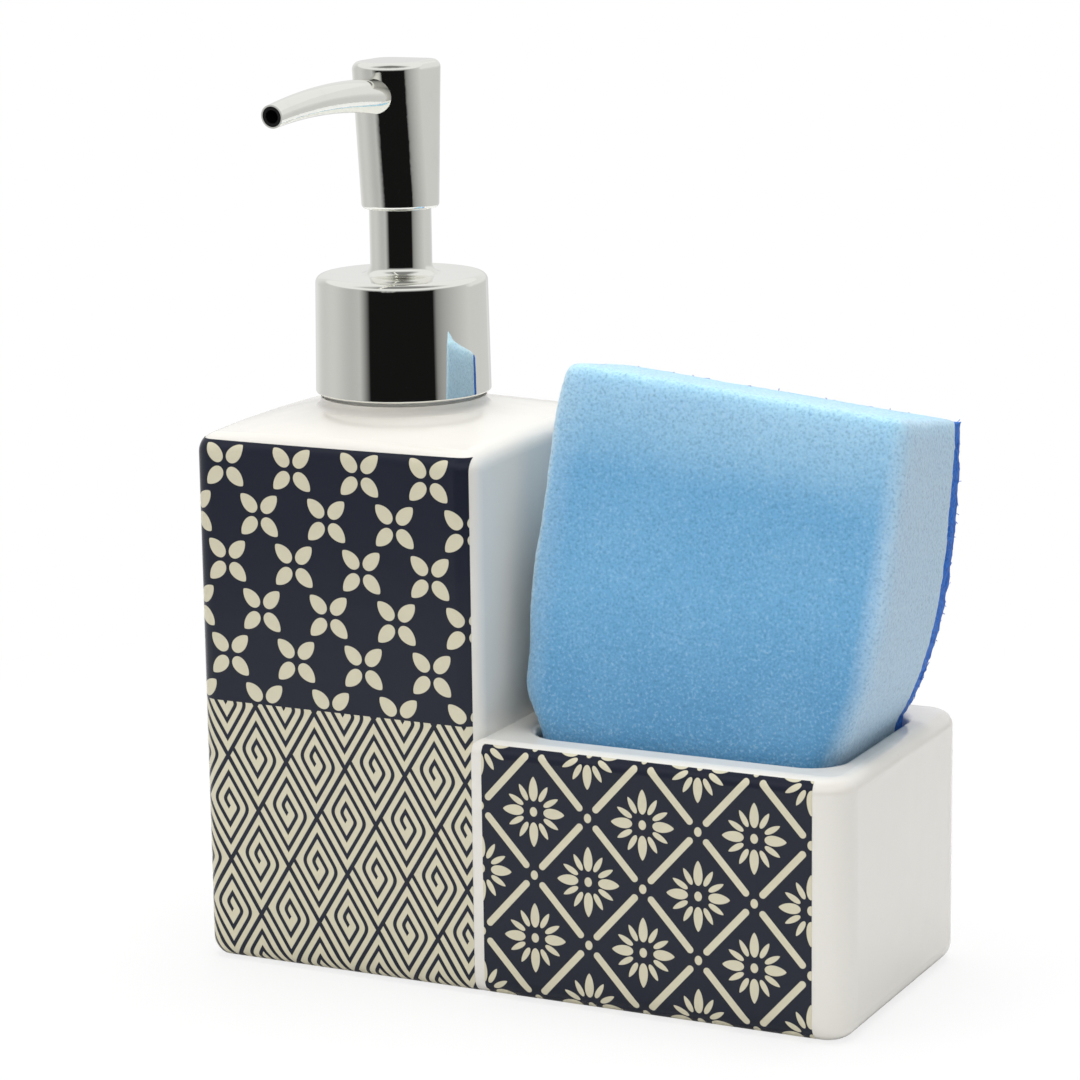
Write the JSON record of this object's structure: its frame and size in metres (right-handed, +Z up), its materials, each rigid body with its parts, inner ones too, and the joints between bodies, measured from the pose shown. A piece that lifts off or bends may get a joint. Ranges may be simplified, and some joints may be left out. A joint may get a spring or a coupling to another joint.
{
  "type": "soap pump caddy",
  "caption": "Ceramic soap bottle with an open sponge tray cast beside it, a chrome screw-on lotion pump and a two-layer sponge standing in the tray.",
  "frame": {"origin": "middle of the flat base that the casting stands on", "axes": "+Z up, -Y towards the decorated front, +X from the bottle towards the tray"},
  "size_m": [0.1425, 0.0806, 0.1785],
  "materials": {
    "ceramic": "gloss",
    "navy_transfer": "gloss",
    "cream_transfer": "gloss",
    "white_plastic": "satin",
    "clear_plastic": "satin",
    "seal": "matte",
    "steel": "polished",
    "chrome": "polished",
    "black_plastic": "matte",
    "foam": "matte",
    "scourer": "matte"
  },
  "bodies": {
    "caddy": {"ceramic_body": "ceramic", "neck_insert": "white_plastic", "flower_decal": "navy_transfer", "lozenge_decal": "cream_transfer", "daisy_decal": "navy_transfer"},
    "seal_ring": {"gasket": "seal"},
    "pump_unit": {"pump_housing": "white_plastic", "stem_guide": "white_plastic", "dip_tube": "clear_plastic", "return_spring": "steel"},
    "collar": {"collar_shell": "chrome", "collar_liner": "white_plastic"},
    "plunger": {"piston_seal": "seal"},
    "actuator": {"pump_stem": "white_plastic", "head_insert": "white_plastic", "pump_head": "chrome", "spout": "chrome", "nozzle_liner": "black_plastic"},
    "inlet_valve": {"inlet_ball": "steel"},
    "outlet_valve": {"outlet_ball": "steel"},
    "sponge": {"sponge_foam": "foam", "scourer_pad": "scourer"}
  },
  "joints": [
    {"name": "pump_lift_out", "type": "slide", "parent": "caddy", "child": "seal_ring", "axis": [0, 0, 1], "range_m": [0, 0.125]},
    {"name": "thread_rise", "type": "slide", "parent": "seal_ring", "child": "pump_unit", "axis": [0, 0, 1], "range_m": [0, 0.00634]},
    {"name": "collar_turn", "type": "hinge", "parent": "pump_unit", "child": "collar", "pos_m": [-0.038, 0, 0.13], "axis": [0, 0, 1], "range_deg": [0, 540]},
    {"name": "pump_stroke", "type": "slide", "parent": "pump_unit", "child": "plunger", "axis": [0, 0, 1], "range_m": [-0.0105, 0], "stiffness_N_per_m": 400, "springref_m": 0.008, "deforming": ["return_spring"]},
    {"name": "spout_swivel", "type": "hinge", "parent": "plunger", "child": "actuator", "pos_m": [-0.038, 0, 0.13], "axis": [0, 0, 1], "continuous": true},
    {"name": "inlet_valve_lift", "type": "slide", "parent": "pump_unit", "child": "inlet_valve", "axis": [0, 0, 1], "range_m": [0, 0.0015]},
    {"name": "outlet_valve_lift", "type": "slide", "parent": "actuator", "child": "outlet_valve", "axis": [0, 0, 1], "range_m": [0, 0.001]},
    {"name": "sponge_lift", "type": "slide", "parent": "caddy", "child": "sponge", "axis": [0, 0, 1], "range_m": [0, 0.07]}
  ],
  "couplings": [
    {"joint": "collar_turn", "follows": "thread_rise", "rad_per_m": 1485.4}
  ]
}
